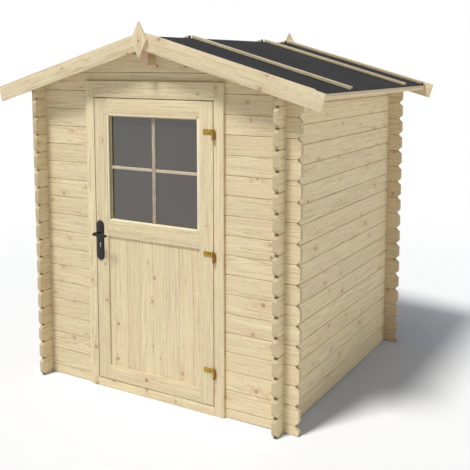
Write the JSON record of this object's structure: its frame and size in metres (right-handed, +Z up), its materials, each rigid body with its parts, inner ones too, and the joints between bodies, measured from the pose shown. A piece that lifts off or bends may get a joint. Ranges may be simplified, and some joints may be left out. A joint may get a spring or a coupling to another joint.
{
  "type": "garden shed",
  "caption": "Wooden garden shed of interlocking boards with crossed log ends, felted gable roof, and a half-glazed front door on hinges with a sprung lever handle.",
  "frame": {"origin": "on the ground at the middle of the plan, which is the bottom centre of the bounding box", "axes": "+Z up, the door and the front gable face -Y, the hinges are on the +X side of the door, the ridge runs along Y"},
  "size_m": [2.3, 1.95, 2.2847],
  "materials": {
    "wall_boards": "planed untreated spruce, fine grain along the boards, small knots",
    "roof_timber": "planed untreated spruce",
    "roof_battens": "sawn untreated spruce laths",
    "barge_boards": "planed untreated spruce, grain along each board",
    "door_frame": "planed untreated spruce, upright grain on the posts",
    "door_leaf": "planed untreated spruce, sanded edges",
    "felt": "mineral-surfaced roofing felt, charcoal, matt and slightly grainy",
    "hinge_brass": "yellow plated steel, satin",
    "black_metal": "anthracite black powder coat, satin",
    "nickel": "brushed nickel plate",
    "glass": "clear flat pane that looks warm grey over the dark inside"
  },
  "bodies": {
    "shed": {"left_wall": "wall_boards", "right_wall": "wall_boards", "back_wall": "wall_boards", "front_wall_left": "wall_boards", "front_wall_right": "wall_boards", "front_gable": "wall_boards", "ridge_beam": "roof_timber", "roof_deck_left": "roof_timber", "roof_deck_right": "roof_timber", "eave_lath_left": "roof_timber", "eave_lath_right": "roof_timber", "roof_felt": "felt", "batten_left_1": "roof_battens", "batten_left_2": "roof_battens", "batten_left_3": "roof_battens", "batten_left_4": "roof_battens", "batten_right_1": "roof_battens", "batten_right_2": "roof_battens", "batten_right_3": "roof_battens", "batten_right_4": "roof_battens", "barge_front_left": "barge_boards", "barge_front_right": "barge_boards", "barge_back_left": "barge_boards", "barge_back_right": "barge_boards", "finial_front": "barge_boards", "finial_back": "barge_boards", "post_left": "door_frame", "post_right": "door_frame", "door_head": "door_frame", "door_sill": "door_frame", "hinge_hook_bottom": "hinge_brass", "hinge_hook_middle": "hinge_brass", "hinge_hook_top": "hinge_brass"},
    "door": {"stile_latch": "door_leaf", "stile_hinge": "door_leaf", "rail_top": "door_leaf", "rail_middle": "door_leaf", "rail_bottom": "door_leaf", "door_panel": "door_leaf", "door_glass": "glass", "hinge_strap_bottom": "hinge_brass", "hinge_strap_middle": "hinge_brass", "hinge_strap_top": "hinge_brass", "plate_outside": "black_metal", "plate_inside": "black_metal", "lock_cylinder": "nickel"},
    "handle": {"lever_handle": "black_metal"}
  },
  "joints": [
    {"name": "door_swing", "type": "hinge", "parent": "shed", "child": "door", "pos_m": [0.439, -0.8735, 0.2], "axis": [0, 0, 1], "range_deg": [0, 110]},
    {"name": "lever_turn", "type": "hinge", "parent": "door", "child": "handle", "pos_m": [-0.3998, -0.85, 1.001], "axis": [0, 1, 0], "range_deg": [0, 40], "stiffness_Nm_per_rad": 1.5, "springref_deg": -34.38}
  ]
}
